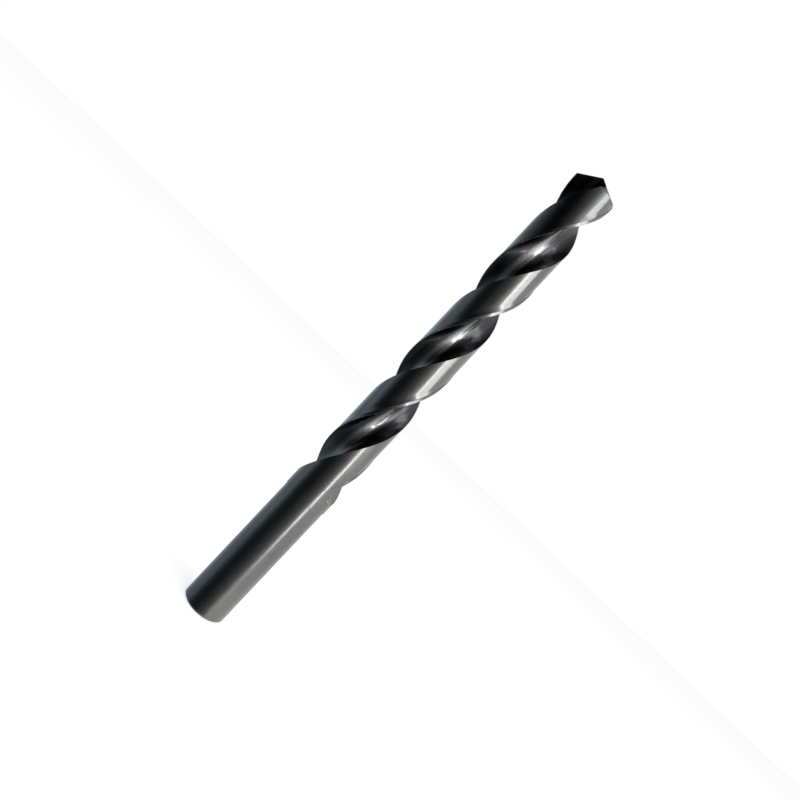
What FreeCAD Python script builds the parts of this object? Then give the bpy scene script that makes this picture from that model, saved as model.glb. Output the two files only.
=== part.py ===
import FreeCAD, Part
import math
import os

# Straight shank twist drill, right hand cutting, two flutes, one solid.
# The middle of the shank's end face is the origin, and the point is at the top, on +Z.
# At the point the two lips run along X.
# Lengths are in millimetres and angles in degrees.

# Overall sizes
drillDiameter = 13.0
shankDiameter = 12.65
overallLength = 152.0
bodyLength = 113.2
shankChamfer = 0.5
neckTaper = 0.6

# Point
pointAngle = 118.0
coneAngle = 100.0
coneApexOffset = 3.0
lipTilt = 4.0

# Flutes
helixAngle = 33.7
webAtPoint = 1.8
webGrowth = 0.018
fluteOpening = 92.0
rootRadius = 2.2
heelLean = 24.0
plainNeck = 3.7
runOutRadius = 7.0

# Lands
marginWidth = 0.9
clearanceDepth = 0.15
clearanceRunOut = 12.0

# Stock left above the point for grinding, and how far each cutter reaches past what it cuts
pointStock = 1.0
cutterSpare = 0.5

# How finely the flutes are drawn
turnPerSection = 11.5
runOutSections = 6
faceSections = 8
halvings = 50
loftDegree = 8

drillRadius = drillDiameter / 2
lead = math.pi * drillDiameter / math.tan(math.radians(helixAngle))
bodyStart = overallLength - bodyLength
fluteEnd = bodyStart + plainNeck
halfWeb = webAtPoint / 2
lipSlope = 1 / math.tan(math.radians(pointAngle / 2))
toolRadius = 1.3 * drillRadius
origin = FreeCAD.Vector(0, 0, 0)
upward = FreeCAD.Vector(0, 0, 1)


def turned(point, angle):
    """The point turned about Z."""
    return FreeCAD.Rotation(upward, angle).multVec(point)


def flankCone():
    """Apex and unit axis of the cone that grinds one flank.

    The lip is one of the cone's straight lines, so it stays straight, and the cone leans
    back from it by lipTilt, which gives the edge its relief. Heights are from the lip's
    own line where that line passes the drill's axis.
    """
    halfPoint = math.radians(pointAngle / 2)
    tilt = math.atan(math.tan(math.radians(lipTilt)) * math.sin(halfPoint))
    alongLip = FreeCAD.Vector(math.sin(halfPoint), 0, -math.cos(halfPoint))
    outward = FreeCAD.Vector(math.cos(halfPoint), 0, math.sin(halfPoint)) * math.cos(tilt)
    outward += FreeCAD.Vector(0, -1, 0) * math.sin(tilt)
    halfCone = math.radians(coneAngle / 2)
    axis = alongLip * math.cos(halfCone) - outward * math.sin(halfCone)
    apex = FreeCAD.Vector(-coneApexOffset, halfWeb, coneApexOffset * lipSlope)
    return apex, axis


def chiselDrop():
    """How far the chisel edge's middle lies below the lip's line."""
    apex, axis = flankCone()
    spread = math.cos(math.radians(coneAngle / 2)) ** 2
    across = -apex.x * axis.x - apex.y * axis.y
    a = axis.z ** 2 - spread
    b = 2 * axis.z * across
    c = across ** 2 - spread * (apex.x ** 2 + apex.y ** 2)
    return -apex.z - (-b - math.sqrt(b * b - 4 * a * c)) / (2 * a)


lipTop = overallLength + chiselDrop()
blankTop = overallLength + pointStock
cutterTop = blankTop + cutterSpare


def facePoint(x):
    """Where the section at the lip's top crosses the flute face behind lip point x.

    Each point of the straight lip is carried round the helix to one height, so the
    flute cut with this section meets the flank in that same straight lip.
    """
    angle = math.degrees(math.atan2(halfWeb, x)) + 360 * x * lipSlope / lead
    return turned(FreeCAD.Vector(math.hypot(x, halfWeb), 0, 0), angle)


def edgeAngle(rise):
    """Angle at which the flute face, moved out by rise, meets the drill's diameter."""
    low, high = 0.0, toolRadius
    for step in range(halvings):
        middle = (low + high) / 2
        if (facePoint(middle) + FreeCAD.Vector(0, rise, 0)).Length < drillRadius:
            low = middle
        else:
            high = middle
    corner = facePoint(high) + FreeCAD.Vector(0, rise, 0)
    return math.degrees(math.atan2(corner.y, corner.x))


cornerAngle = edgeAngle(0)


def fluteSection():
    """Closed outline of one flute's cutter, in the section at the lip's top."""
    root = FreeCAD.Vector(0, halfWeb + rootRadius, 0)
    heelAngle = cornerAngle + fluteOpening
    heel = turned(FreeCAD.Vector(drillRadius, 0, 0), heelAngle)
    wall = turned(FreeCAD.Vector(1, 0, 0), heelAngle - heelLean)
    inward = FreeCAD.Vector(wall.y, -wall.x, 0)
    gap = heel - root
    heelRadius = (rootRadius ** 2 - gap.dot(gap)) / (2 * (gap.dot(inward) + rootRadius))
    heelCentre = heel + inward * heelRadius
    joint = root + (root - heelCentre).normalize() * rootRadius
    bottom = FreeCAD.Vector(0, halfWeb, 0)
    rootWay = (bottom - root).normalize() + (joint - root).normalize()
    rootMiddle = root + rootWay.normalize() * rootRadius
    heelWay = (joint - heelCentre).normalize() + (heel - heelCentre).normalize()
    heelMiddle = heelCentre + heelWay.normalize() * heelRadius
    reach = -heel.dot(wall) + math.sqrt(heel.dot(wall) ** 2 + toolRadius ** 2 - drillRadius ** 2)
    heelOuter = heel + wall * reach

    faceReach = math.sqrt(toolRadius ** 2 - halfWeb ** 2)
    faceOuter = facePoint(faceReach)
    face = Part.BSplineCurve()
    face.interpolate([facePoint(faceReach * (1 - step / faceSections)) for step in range(faceSections + 1)])
    outerMiddle = (faceOuter + heelOuter).normalize() * toolRadius
    edges = [face.toShape()]
    edges.append(Part.Arc(bottom, rootMiddle, joint).toShape())
    edges.append(Part.Arc(joint, heelMiddle, heel).toShape())
    edges.append(Part.LineSegment(heel, heelOuter).toShape())
    edges.append(Part.Arc(heelOuter, outerMiddle, faceOuter).toShape())
    return Part.Wire(edges)


def webRise(z):
    """How far the thickening web has moved the flute out at this height."""
    return webGrowth * (lipTop - z) / 2


def flutePath():
    """Height and extra lift of each section, from above the point down through the run-out.

    The run-out is an arc that leaves the flute's bottom without a kink and reaches the
    drill's surface at fluteEnd.
    """
    depth = drillRadius - halfWeb - webRise(fluteEnd)
    runOutTop = fluteEnd + runOutRadius * math.sin(math.acos(1 - depth / runOutRadius))
    lastTurn = math.acos(1 - (depth + cutterSpare) / runOutRadius)
    steps = math.ceil((cutterTop - runOutTop) / lead * 360 / turnPerSection)
    path = [(cutterTop - (cutterTop - runOutTop) * step / steps, 0) for step in range(steps)]
    for step in range(runOutSections + 1):
        turn = lastTurn * step / runOutSections
        path.append((runOutTop - runOutRadius * math.sin(turn), runOutRadius * (1 - math.cos(turn))))
    return path


def fluteCutter():
    """Solid of one flute, with its leading edge kept on the helix as the web thickens."""
    outline = fluteSection()
    sections = []
    for z, lift in flutePath():
        rise = webRise(z)
        section = outline.copy()
        section.translate(FreeCAD.Vector(0, rise + lift, 0))
        section.rotate(origin, upward, 360 * (z - lipTop) / lead + cornerAngle - edgeAngle(rise))
        section.translate(FreeCAD.Vector(0, 0, z))
        sections.append(section)
    return lofted(sections)


def lofted(sections):
    """Solid through closed outlines, smooth along its length."""
    return Part.makeLoft(sections, True, False, False, loftDegree)


def revolved(outline):
    """Solid turned about Z from a list of radius and height pairs."""
    points = [FreeCAD.Vector(radius, 0, z) for radius, z in outline]
    return Part.Face(Part.makePolygon(points + points[:1])).revolve(origin, upward, 360)


def clearanceSection():
    """Outline of the ring sector behind one land's margin."""
    start = cornerAngle - math.degrees(marginWidth / drillRadius)
    end = cornerAngle - 180 + fluteOpening - math.degrees(2 * marginWidth / drillRadius)
    middle = (start + end) / 2
    inner, outer = drillRadius - 2 * clearanceDepth, drillRadius + cutterSpare
    innerArc = [turned(FreeCAD.Vector(inner, 0, 0), angle) for angle in (start, middle, end)]
    outerArc = [turned(FreeCAD.Vector(outer, 0, 0), angle) for angle in (end, middle, start)]
    edges = [Part.Arc(*innerArc).toShape(), Part.LineSegment(innerArc[2], outerArc[0]).toShape()]
    edges += [Part.Arc(*outerArc).toShape(), Part.LineSegment(outerArc[2], innerArc[0]).toShape()]
    return Part.Wire(edges)


def clearanceCutter():
    """Solid that lowers one land behind its margin, fading out above the flute's end."""
    bottom = fluteEnd - cutterSpare
    steps = math.ceil((cutterTop - bottom) / lead * 360 / turnPerSection)
    sections = []
    for step in range(steps + 1):
        z = bottom + (cutterTop - bottom) * step / steps
        section = clearanceSection()
        section.rotate(origin, upward, 360 * (z - lipTop) / lead)
        section.translate(FreeCAD.Vector(0, 0, z))
        sections.append(section)
    landRadius = drillRadius - clearanceDepth
    fade = clearanceDepth / clearanceRunOut
    lowest = bottom - cutterSpare
    core = [(0, lowest), (drillRadius + fade * (fluteEnd - lowest), lowest)]
    core += [(landRadius, fluteEnd + clearanceRunOut), (landRadius, cutterTop + cutterSpare)]
    core += [(0, cutterTop + cutterSpare)]
    return lofted(sections).cut(revolved(core))


def blank():
    """The turned blank: a shank with a chamfered end, a small step, and the body."""
    shankRadius = shankDiameter / 2
    outline = [(0, 0), (shankRadius - shankChamfer, 0), (shankRadius, shankChamfer)]
    outline += [(shankRadius, bodyStart), (drillRadius, bodyStart + neckTaper)]
    outline += [(drillRadius, blankTop), (0, blankTop)]
    return revolved(outline)


def pointWaste():
    """What the grinding of one flank takes off the blank's top."""
    apex, axis = flankCone()
    apex += FreeCAD.Vector(0, 0, lipTop)
    reach = 4 * drillRadius
    cone = Part.makeCone(0, reach * math.tan(math.radians(coneAngle / 2)), reach, apex, axis)
    bottom = lipTop - 2 * drillRadius * lipSlope
    stock = Part.makeCylinder(drillRadius + cutterSpare, cutterTop - bottom, FreeCAD.Vector(0, 0, bottom))
    return stock.cut(cone)


def halfTurned(shape):
    other = shape.copy()
    other.rotate(origin, upward, 180)
    return other


def twistDrill():
    drill = blank()
    for cutter in (clearanceCutter(), fluteCutter(), pointWaste()):
        drill = drill.cut([cutter, halfTurned(cutter)])
    return drill.Solids[0]


os.makedirs("parts", exist_ok=True)
drill = twistDrill()
drill.exportStep("parts/twist_drill.step")
print("valid", drill.isValid(), "faces", len(drill.Faces), "volume", round(drill.Volume, 2))
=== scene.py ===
import bpy
import math
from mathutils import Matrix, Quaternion, Vector


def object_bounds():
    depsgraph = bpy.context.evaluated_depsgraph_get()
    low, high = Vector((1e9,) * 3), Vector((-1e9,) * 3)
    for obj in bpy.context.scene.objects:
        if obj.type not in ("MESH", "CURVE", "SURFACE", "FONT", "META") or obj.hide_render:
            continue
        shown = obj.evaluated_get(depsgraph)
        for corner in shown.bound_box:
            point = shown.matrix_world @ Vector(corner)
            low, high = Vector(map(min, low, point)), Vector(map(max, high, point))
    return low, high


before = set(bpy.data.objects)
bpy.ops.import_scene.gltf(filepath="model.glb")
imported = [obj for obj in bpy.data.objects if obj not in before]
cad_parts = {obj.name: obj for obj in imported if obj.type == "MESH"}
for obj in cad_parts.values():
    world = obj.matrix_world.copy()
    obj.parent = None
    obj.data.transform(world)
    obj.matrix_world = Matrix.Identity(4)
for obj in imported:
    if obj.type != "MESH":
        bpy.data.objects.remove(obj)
frameBox = [list(corner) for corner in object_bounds()]
print("drill loaded")


# One value in a shader: each operator adds the Math node that works it out
class Socket:
    def __init__(self, tree, link=None):
        self.tree = tree
        self.link = link

    def node(self, kind, settings=None, values=None, output=0):
        made = self.tree.nodes.new(kind)
        for name, value in (settings or {}).items():
            if name == "stops":
                setStops(made.color_ramp, value)
            else:
                setattr(made, name, value)
        for name, value in (values or {}).items():
            if isinstance(value, Socket):
                self.tree.links.new(value.link, made.inputs[name])
            else:
                made.inputs[name].default_value = value
        return Socket(self.tree, made.outputs[output] if made.outputs else None)

    def math(self, operation, *values):
        return self.node("ShaderNodeMath", {"operation": operation}, dict(enumerate(values)))

    def __add__(self, other):
        return self.math("ADD", self, other)

    def __radd__(self, other):
        return self.math("ADD", other, self)

    def __sub__(self, other):
        return self.math("SUBTRACT", self, other)

    def __rsub__(self, other):
        return self.math("SUBTRACT", other, self)

    def __mul__(self, other):
        return self.math("MULTIPLY", self, other)

    def __rmul__(self, other):
        return self.math("MULTIPLY", other, self)

    def __truediv__(self, other):
        return self.math("DIVIDE", self, other)

    def __rtruediv__(self, other):
        return self.math("DIVIDE", other, self)

    def step(self, low, high):
        # Smoothly from 0 at low to 1 at high
        values = {0: self, 1: low, 2: high, 3: 0.0, 4: 1.0}
        return self.node("ShaderNodeMapRange", {"interpolation_type": "SMOOTHSTEP"}, values)

    def blend(self, first, second):
        # From the first colour to the second as this value goes from 0 to 1
        return self.node("ShaderNodeMix", {"data_type": "RGBA"}, {0: self, 6: first, 7: second}, 2)

    def vector(self, operation, values, output=0):
        return self.node("ShaderNodeVectorMath", {"operation": operation}, {0: self, **values}, output)

    def noise(self, scale, detail=2.0):
        # Cloudy values round 0.5, in cells of 1 / scale metres along each axis
        values = {"Vector": self.vector("MULTIPLY", {1: scale}), "Scale": 1.0, "Detail": detail}
        return self.node("ShaderNodeTexNoise", None, values)


def setStops(ramp, stops):
    while len(ramp.elements) > 1:
        ramp.elements.remove(ramp.elements[-1])
    for place, (position, colour) in enumerate(stops):
        stop = ramp.elements[0] if place == 0 else ramp.elements.new(position)
        stop.position = position
        stop.color = (*colour, 1)


def newMaterial(name):
    material = bpy.data.materials.new(name)
    material.use_nodes = True
    material.node_tree.nodes.clear()
    return material, Socket(material.node_tree)


def objectAxes(start):
    place = start.node("ShaderNodeTexCoord", output="Object")
    return place, [start.node("ShaderNodeSeparateXYZ", None, {0: place}, axis) for axis in "XYZ"]


# Where the body and its flutes lie on the drill, in metres and degrees
helix = {
    "radius": 0.0065,
    "bodyStart": 0.0388,
    "flutesStart": 0.0425,
    "lipTop": 0.15217,
    "lead": 0.06124,
    "edgeAtLip": 30.7,
    "opening": 92.0,
    "marginWidth": 0.0009,
}

# Black oxide on ground steel: colours are plain red, green and blue, heights are in metres, and
# noises are in cells per metre along each axis. Each pair further down is where a finish starts
# and where it is full.
steel = {
    "oxide": (0.195, 0.195, 0.191, 1),
    "oxideWarm": (0.213, 0.209, 0.2, 1),
    "oxideCool": (0.174, 0.18, 0.184, 1),
    "flute": (0.28, 0.282, 0.282, 1),
    # Painted light, for the faces behind the lips
    "face": (0.32, 0.32, 0.316, 1),
    # Painted shade, for the heel walls and for walls that face down
    "heel": (0.065, 0.067, 0.07, 1),
    "margin": (0.21, 0.21, 0.206, 1),
    "pointFlute": (0.03, 0.032, 0.035, 1),
    "roughness": 0.205,
    "fluteRoughness": 0.19,
    "lipRoughness": 0.33,
    "patches": (150, 150, 60),
    "patchDetail": 3.0,
    "patchDepth": 0.35,
    "patchRoughness": 0.06,
    "grain": (2600, 2600, 2600),
    "grainColour": 0.5,
    "grainHeight": 0.000003,
    "shankLines": (120, 120, 5200),
    "fluteLines": (5200, 5200, 52),
    "lineRoughness": 0.08,
    "lineHeight": 0.000003,
    "filletWidth": 0.0016,
    "filletHeight": 0.00012,
    "wallEase": 0.18,
    "neckEase": 4,
    # In metres from the start of the body
    "neckFoot": (-0.0004, 0.0),
    "neckTop": (0.001, 0.0006),
    "landFoot": (0.0, 0.0006),
    # In metres from the start of the flutes
    "openFlute": (-0.0002, 0.0003),
    "deepFlute": (0.0045, 0.0175),
    "steppedLand": (0.0075, 0.0215),
    "easedLand": (0.0095, 0.0055),
    # In metres from the tip
    "nearTip": (-0.014, -0.006),
    # In metres from the drill's radius
    "outsideFlute": (-0.00032, -0.00022),
    "marginSurface": (-0.0003, -0.0002),
    "landSurface": (-0.00018, -0.0001),
    # In widths of the margin, and in shares of the way from one leading edge to the next
    "marginEdge": (1.15, 0.95),
    "nearLip": (0.2, 0.05),
    "filletFade": 0.1,
    # 1 on a wall that faces back to its leading edge, -1 on one that faces away from it
    # The first pair sets where the heel walls get painted shade, the second where the faces behind the lips
    # get painted light
    "heelSteepness": (0.1, 0.65),
    "faceSteepness": (-0.35, -0.75),
    # -1 on a wall that faces down
    # Walls that face down get the painted shade too
    "facingDown": (-0.15, -0.32),
}


def aroundHelix(start, x, y, z):
    # 0 at each leading edge, growing to 1 at the next one; the flute comes first, then its land
    turn = start.math("ARCTAN2", y, x) / (2 * math.pi)
    climb = (z - helix["lipTop"]) / helix["lead"] + helix["edgeAtLip"] / 360
    return start.math("FRACT", (turn - climb) * 2)


def blackOxideSteel():
    material, start = newMaterial("blackOxideSteel")
    place, (x, y, z) = objectAxes(start)
    radius = start.math("SQRT", x * x + y * y)
    around = aroundHelix(start, x, y, z)
    halfTurn = math.pi * helix["radius"]
    marginShare = helix["marginWidth"] / halfTurn
    openShare = helix["opening"] / 180
    fromBody = z - helix["bodyStart"]
    fromFlutes = z - helix["flutesStart"]
    fromTip = z - frameBox[1][2]
    fromRadius = radius - helix["radius"]

    inFlute = fromFlutes.step(*steel["openFlute"]) * (1 - fromRadius.step(*steel["outsideFlute"]))
    deepFlute = inFlute * fromFlutes.step(*steel["deepFlute"])
    stepped = fromFlutes.step(*steel["steppedLand"])
    marginEdge = [1 - marginShare * width for width in steel["marginEdge"]]
    onMargin = stepped * around.step(*marginEdge) * fromRadius.step(*steel["marginSurface"])

    # Heel walls face back to the leading edge, and the faces behind the lips face away from it; the heel
    # walls and the walls facing down get painted shade, the faces get painted light
    facing = start.node("ShaderNodeNewGeometry", output="Normal")
    backward = start.node("ShaderNodeCombineXYZ", None, {0: y / radius, 1: x / radius * -1})
    steepness = facing.vector("DOT_PRODUCT", {1: backward}, 1)
    facingUp = start.node("ShaderNodeSeparateXYZ", None, {0: facing}, 2)
    paintedShadeMask = steepness.step(*steel["heelSteepness"])
    paintedShadeMask = start.math("MAXIMUM", paintedShadeMask, facingUp.step(*steel["facingDown"]))
    paintedLightMask = deepFlute * steepness.step(*steel["faceSteepness"])
    nearLip = deepFlute * around.step(*steel["nearLip"])

    # The flutes' walls, the neck and the start of the lands are shaded less steep than they are
    atNeck = fromBody.step(*steel["neckFoot"]) * fromBody.step(*steel["neckTop"])
    atLand = fromBody.step(*steel["landFoot"]) * fromFlutes.step(*steel["easedLand"])
    atLand = atLand * fromRadius.step(*steel["landSurface"])
    ease = inFlute * steel["wallEase"] + (atNeck + atLand) * steel["neckEase"]
    outward = start.node("ShaderNodeCombineXYZ", None, {0: x / radius, 1: y / radius})
    eased = outward.vector("SCALE", {3: ease}).vector("ADD", {1: facing}).vector("NORMALIZE", {})

    patches = place.noise(steel["patches"], steel["patchDetail"])
    cool = patches.step(0.5, 0.5 - steel["patchDepth"] / 2)
    warm = patches.step(0.5, 0.5 + steel["patchDepth"] / 2)
    grain = place.noise(steel["grain"])
    landColour = cool.blend(warm.blend(steel["oxide"], steel["oxideWarm"]), steel["oxideCool"])
    # The flutes' colour, with painted shade on the heel walls and on walls that face down, and painted
    # light on the faces behind the lips
    fluteColourWithPaintedShadeAndLight = paintedShadeMask.blend(paintedLightMask.blend(steel["flute"], steel["face"]), steel["heel"])
    fluteColourWithPaintedShadeAndLight = fromTip.step(*steel["nearTip"]).blend(fluteColourWithPaintedShadeAndLight, steel["pointFlute"])
    colour = onMargin.blend(deepFlute.blend(landColour, fluteColourWithPaintedShadeAndLight), steel["margin"])
    colour = colour.vector("SCALE", {3: (grain - 0.5) * steel["grainColour"] + 1})

    alongFlute = start.node("ShaderNodeCombineXYZ", None, {0: around * halfTurn, 1: radius, 2: z})
    fluteLines = alongFlute.noise(steel["fluteLines"])
    shankLines = place.noise(steel["shankLines"])
    lines = inFlute * fluteLines + (1 - inFlute) * shankLines
    roughness = steel["roughness"] + inFlute * (steel["fluteRoughness"] - steel["roughness"])
    roughness = roughness + nearLip * steel["lipRoughness"]
    roughness = roughness + (patches - 0.5) * steel["patchRoughness"]
    roughness = roughness + (lines - 0.5) * steel["lineRoughness"]

    # Each land rises in a shallow hollow curve to the step up to its margin
    behind = (1 - marginShare - around) * (halfTurn / steel["filletWidth"])
    nearStep = 1 - start.math("MINIMUM", start.math("MAXIMUM", behind, 0.0), 1.0)
    onLand = stepped * around.step(openShare, openShare + steel["filletFade"])
    height = lines * steel["lineHeight"] + grain * steel["grainHeight"]
    height = height + nearStep * nearStep * onLand * steel["filletHeight"]
    values = {"Strength": 1.0, "Distance": 1.0, "Height": height, "Normal": eased}
    bump = start.node("ShaderNodeBump", None, values)

    shader = start.node("ShaderNodeBsdfPrincipled", None, {
        "Base Color": colour,
        "Metallic": 1.0,
        "Roughness": roughness,
        "Normal": bump,
    })
    start.node("ShaderNodeOutputMaterial", None, {"Surface": shader})
    return material


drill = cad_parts["twist_drill"]
drill.data.materials.clear()
drill.data.materials.append(blackOxideSteel())
print("steel done")


# Floor, and the world behind it, both white to the camera
studio = {
    "floorSize": 12.0,
    "floorColour": (0.9, 0.9, 0.9, 1),
    "floorGlow": 0.6,
    "worldLight": 0.4,
    "middle": 0.075,
}


def seenWhite(start):
    # 1 for rays from the camera, from glossy metal and through glass
    camera = start.node("ShaderNodeLightPath", output="Is Camera Ray")
    glossy = start.node("ShaderNodeLightPath", output="Is Glossy Ray")
    through = start.node("ShaderNodeLightPath", output="Is Transmission Ray")
    return start.math("MINIMUM", camera + glossy + through, 1.0)


def makeWorld():
    world = bpy.data.worlds.new("studioWorld")
    world.use_nodes = True
    bpy.context.scene.world = world
    tree = world.node_tree
    background = tree.nodes["Background"]
    background.inputs["Color"].default_value = (1, 1, 1, 1)
    strength = seenWhite(Socket(tree)) * (1 - studio["worldLight"]) + studio["worldLight"]
    tree.links.new(strength.link, background.inputs["Strength"])


def makeFloor():
    bpy.ops.object.select_all(action="DESELECT")
    bpy.ops.mesh.primitive_plane_add(size=studio["floorSize"], location=(0, 0, 0))
    floor = bpy.context.object
    floor.name = "floor"
    material, start = newMaterial("paleFloor")
    matt = start.node("ShaderNodeBsdfDiffuse", None, {"Color": studio["floorColour"]})
    glow = start.node("ShaderNodeEmission", None, {"Strength": seenWhite(start) * studio["floorGlow"]})
    both = start.node("ShaderNodeAddShader", None, {0: matt, 1: glow})
    start.node("ShaderNodeOutputMaterial", None, {"Surface": both})
    floor.data.materials.append(material)
    floor.visible_glossy = False


# A glowing shell hung from behind the drill round its left and front, and over its top, which only the
# metal sees: it is painted with the light and shade that the metal reflects.
# Bearings go round the drill from the camera's side; each band is a rise above the drill's middle in
# degrees, and how bright the shell glows there at each bearing.
reflectionShell = {
    "radius": 2.0,
    "segments": 72,
    "rings": 36,
    "bearings": (-180, -145, -110, -85, -70, -58, -40, -20, 0, 18, 32, 44),
    "bands": (
        (-50, (0.6, 0.28, 0.22, 0.22, 0.22, 0.21, 0.2, 0.18, 0.17, 0.2, 0.26, 0.6)),
        (-36, (0.8, 0.34, 0.2, 0.15, 0.1, 0.05, 0.02, 0.01, 0.02, 0.07, 0.18, 0.6)),
        (-25, (1.0, 0.6, 0.4, 0.36, 0.22, 0.08, 0.04, 0.045, 0.11, 0.21, 0.44, 1.0)),
        (0, (1.0, 0.8, 0.34, 0.46, 0.23, 0.05, 0.018, 0.03, 0.11, 0.22, 0.58, 1.0)),
        (13, (1.0, 0.8, 0.34, 0.31, 0.19, 0.07, 0.022, 0.04, 0.12, 0.23, 0.58, 1.0)),
        (22, (0.8, 0.5, 0.2, 0.06, 0.02, 0.006, 0.003, 0.006, 0.03, 0.14, 0.6, 1.0)),
        (36, (0.6, 0.35, 0.15, 0.06, 0.02, 0.01, 0.005, 0.03, 0.25, 0.5, 0.7, 0.9)),
        (48, (0.5, 0.3, 0.15, 0.08, 0.04, 0.03, 0.06, 0.3, 0.4, 0.5, 0.6, 0.8)),
        (60, (0.4, 0.3, 0.25, 0.2, 0.2, 0.2, 0.22, 0.25, 0.28, 0.3, 0.34, 0.5)),
        (74, (0.2, 0.18, 0.16, 0.15, 0.15, 0.15, 0.15, 0.15, 0.15, 0.15, 0.15, 0.2)),
    ),
    "leftTint": (0.83, 1.0, 1.14, 1),
    "plainTint": (1, 1, 1, 1),
    "tintBearings": (20, -45),
    "capRise": 57,
}


def paintedReflectionShell():
    material, start = newMaterial("paintedReflectionShell")
    x, y, z = objectAxes(start)[1]
    bearing = start.math("ARCTAN2", x, y * -1) * (180 / math.pi)
    rise = start.math("ARCSINE", (z - studio["middle"]) / reflectionShell["radius"]) * (180 / math.pi)
    bands = []
    for bandRise, levels in reflectionShell["bands"]:
        places = [(angle + 180) / 360 for angle in reflectionShell["bearings"]]
        stops = [(place, (level,) * 3) for place, level in zip(places, levels)]
        band = start.node("ShaderNodeValToRGB", {"stops": stops}, {0: bearing / 360 + 0.5})
        bands.append((bandRise, band))
    colour = bands[0][1]
    for (low, _), (high, band) in zip(bands, bands[1:]):
        colour = rise.step(low, high).blend(colour, band)
    tint = bearing.step(*reflectionShell["tintBearings"]).blend(reflectionShell["plainTint"], reflectionShell["leftTint"])
    settings = {"data_type": "RGBA", "blend_type": "MULTIPLY"}
    colour = start.node("ShaderNodeMix", settings, {0: 1.0, 6: colour, 7: tint}, 2)
    # The shell's painted light and shade, given out as glow
    glow = start.node("ShaderNodeEmission", None, {"Color": colour})
    start.node("ShaderNodeOutputMaterial", None, {"Surface": glow})
    material.cycles.emission_sampling = "NONE"
    return material


def makeReflectionShell():
    bpy.ops.object.select_all(action="DESELECT")
    bpy.ops.mesh.primitive_uv_sphere_add(
        segments=reflectionShell["segments"], ring_count=reflectionShell["rings"],
        radius=reflectionShell["radius"], location=(0, 0, studio["middle"]),
    )
    shell = bpy.context.object
    shell.name = "paintedReflectionShell"
    bpy.ops.object.transform_apply(location=True)
    bpy.ops.object.mode_set(mode="EDIT")
    bpy.ops.mesh.select_mode(type="FACE")
    bpy.ops.mesh.select_all(action="DESELECT")
    bpy.ops.object.mode_set(mode="OBJECT")
    capHeight = studio["middle"] + reflectionShell["radius"] * math.sin(math.radians(reflectionShell["capRise"]))
    for face in shell.data.polygons:
        bearing = math.degrees(math.atan2(face.center.x, -face.center.y))
        face.select = bearing > reflectionShell["bearings"][-1] and face.center.z < capHeight
    bpy.ops.object.mode_set(mode="EDIT")
    bpy.ops.mesh.delete(type="FACE")
    bpy.ops.object.mode_set(mode="OBJECT")
    shell.data.materials.append(paintedReflectionShell())
    onlyReflected(shell)


def onlyReflected(thing):
    thing.visible_camera = False
    thing.visible_diffuse = False
    thing.visible_transmission = False
    thing.visible_shadow = False


def wayOut(bearing, rise):
    # Out from the drill at a bearing from the camera's side and a rise, both in degrees
    turn, climb = math.radians(bearing), math.radians(rise)
    flat = math.cos(climb)
    return Vector((math.sin(turn) * flat, -math.cos(turn) * flat, math.sin(climb)))


def pointAt(thing, height, away, distance, roll):
    # Puts a thing out from the drill's axis at this height, looking back at it
    thing.location = Vector((0, 0, height)) + away * distance
    thing.rotation_mode = "QUATERNION"
    upright = (-away).to_track_quat("-Z", "Y")
    thing.rotation_quaternion = upright @ Quaternion((0, 0, 1), math.radians(roll))


def facingDrill(thing, bearing, rise, distance, lean):
    # Lean turns a card or lamp as a clock's hands go
    pointAt(thing, studio["middle"], wayOut(bearing, rise), distance, -lean)


# Each lamp's bearing, rise and distance from the drill's middle, width and length, lean and brightness
lamps = {
    "softbox": {"bearing": 69, "rise": 16, "distance": 1.6, "size": (0.72, 1.1), "lean": 0, "glow": 2.7},
    "topBox": {"bearing": 38, "rise": 42, "distance": 1.6, "size": (0.8, 0.5), "lean": 30, "glow": 2.3},
    "frontTopBox": {"bearing": 8, "rise": 55, "distance": 1.6, "size": (0.9, 0.3), "lean": 10, "glow": 1.2},
}

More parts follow.
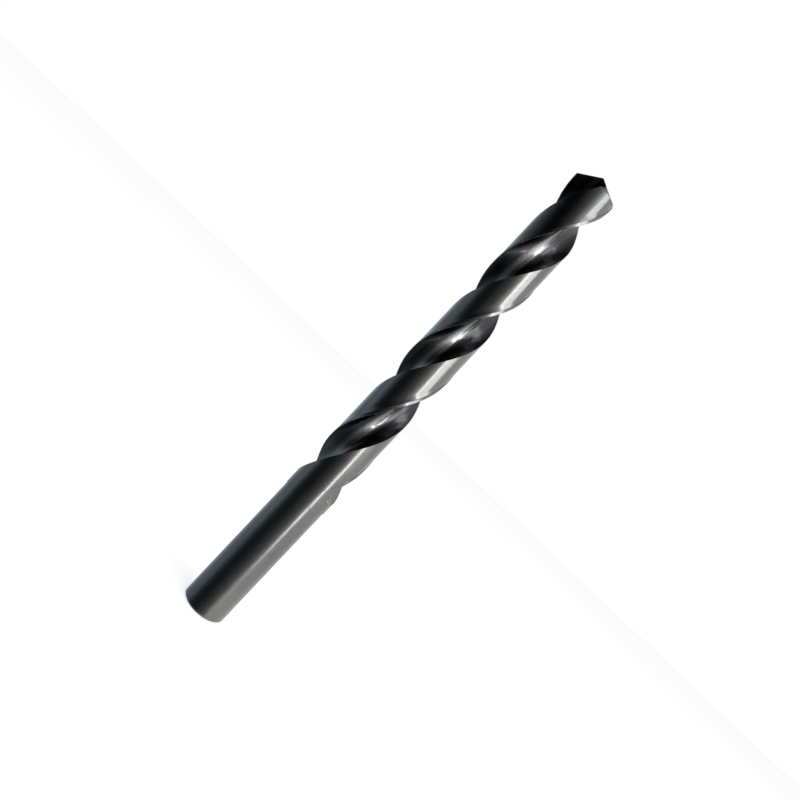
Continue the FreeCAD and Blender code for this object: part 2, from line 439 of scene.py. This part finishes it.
# A strip beside the softbox, brighter than white, which only the metal sees
strip = {"bearing": 50, "rise": 3, "distance": 1.5, "size": (0.2, 1.2), "lean": 8, "glow": 6.5}


def makeLamps():
    for name, lamp in lamps.items():
        data = bpy.data.lights.new(name, "AREA")
        data.shape = "RECTANGLE"
        data.size, data.size_y = lamp["size"]
        data.energy = lamp["glow"] * math.pi * data.size * data.size_y
        light = bpy.data.objects.new(name, data)
        bpy.context.scene.collection.objects.link(light)
        facingDrill(light, lamp["bearing"], lamp["rise"], lamp["distance"], lamp["lean"])


def makeStrip():
    bpy.ops.object.select_all(action="DESELECT")
    bpy.ops.mesh.primitive_plane_add(size=1)
    card = bpy.context.object
    card.name = "stripCard"
    card.scale = (*strip["size"], 1)
    facingDrill(card, strip["bearing"], strip["rise"], strip["distance"], strip["lean"])
    bpy.ops.object.transform_apply(location=True, rotation=True, scale=True)
    material, start = newMaterial("stripCard")
    glow = start.node("ShaderNodeEmission", None, {"Strength": strip["glow"]})
    start.node("ShaderNodeOutputMaterial", None, {"Surface": glow})
    material.cycles.emission_sampling = "NONE"
    card.data.materials.append(material)
    onlyReflected(card)


makeWorld()
makeFloor()
makeReflectionShell()
makeLamps()
makeStrip()
print("studio done")


# Where the photograph was taken from; the roll lays the upright drill across the picture
view = {
    "azimuth": 1.2182,
    "elevation": 1.2531,
    "aimHeight": 0.07128,
    "distance": 0.16433,
    "roll": 43.32,
    "sensor": 36,
    "lens": 28.376,
    "shift": (0.01317, 0.0103),
    "clip": (0.005, 20),
}


def makeCamera():
    data = bpy.data.cameras.new("camera")
    camera = bpy.data.objects.new("camera", data)
    bpy.context.scene.collection.objects.link(camera)
    back = wayOut(view["azimuth"], view["elevation"])
    pointAt(camera, view["aimHeight"], back, view["distance"], view["roll"])
    data.sensor_width = view["sensor"]
    data.lens = view["lens"]
    data.shift_x, data.shift_y = view["shift"]
    data.clip_start, data.clip_end = view["clip"]
    bpy.context.scene.camera = camera


makeCamera()
bpy.context.scene.view_settings.view_transform = "Standard"
print("camera done")
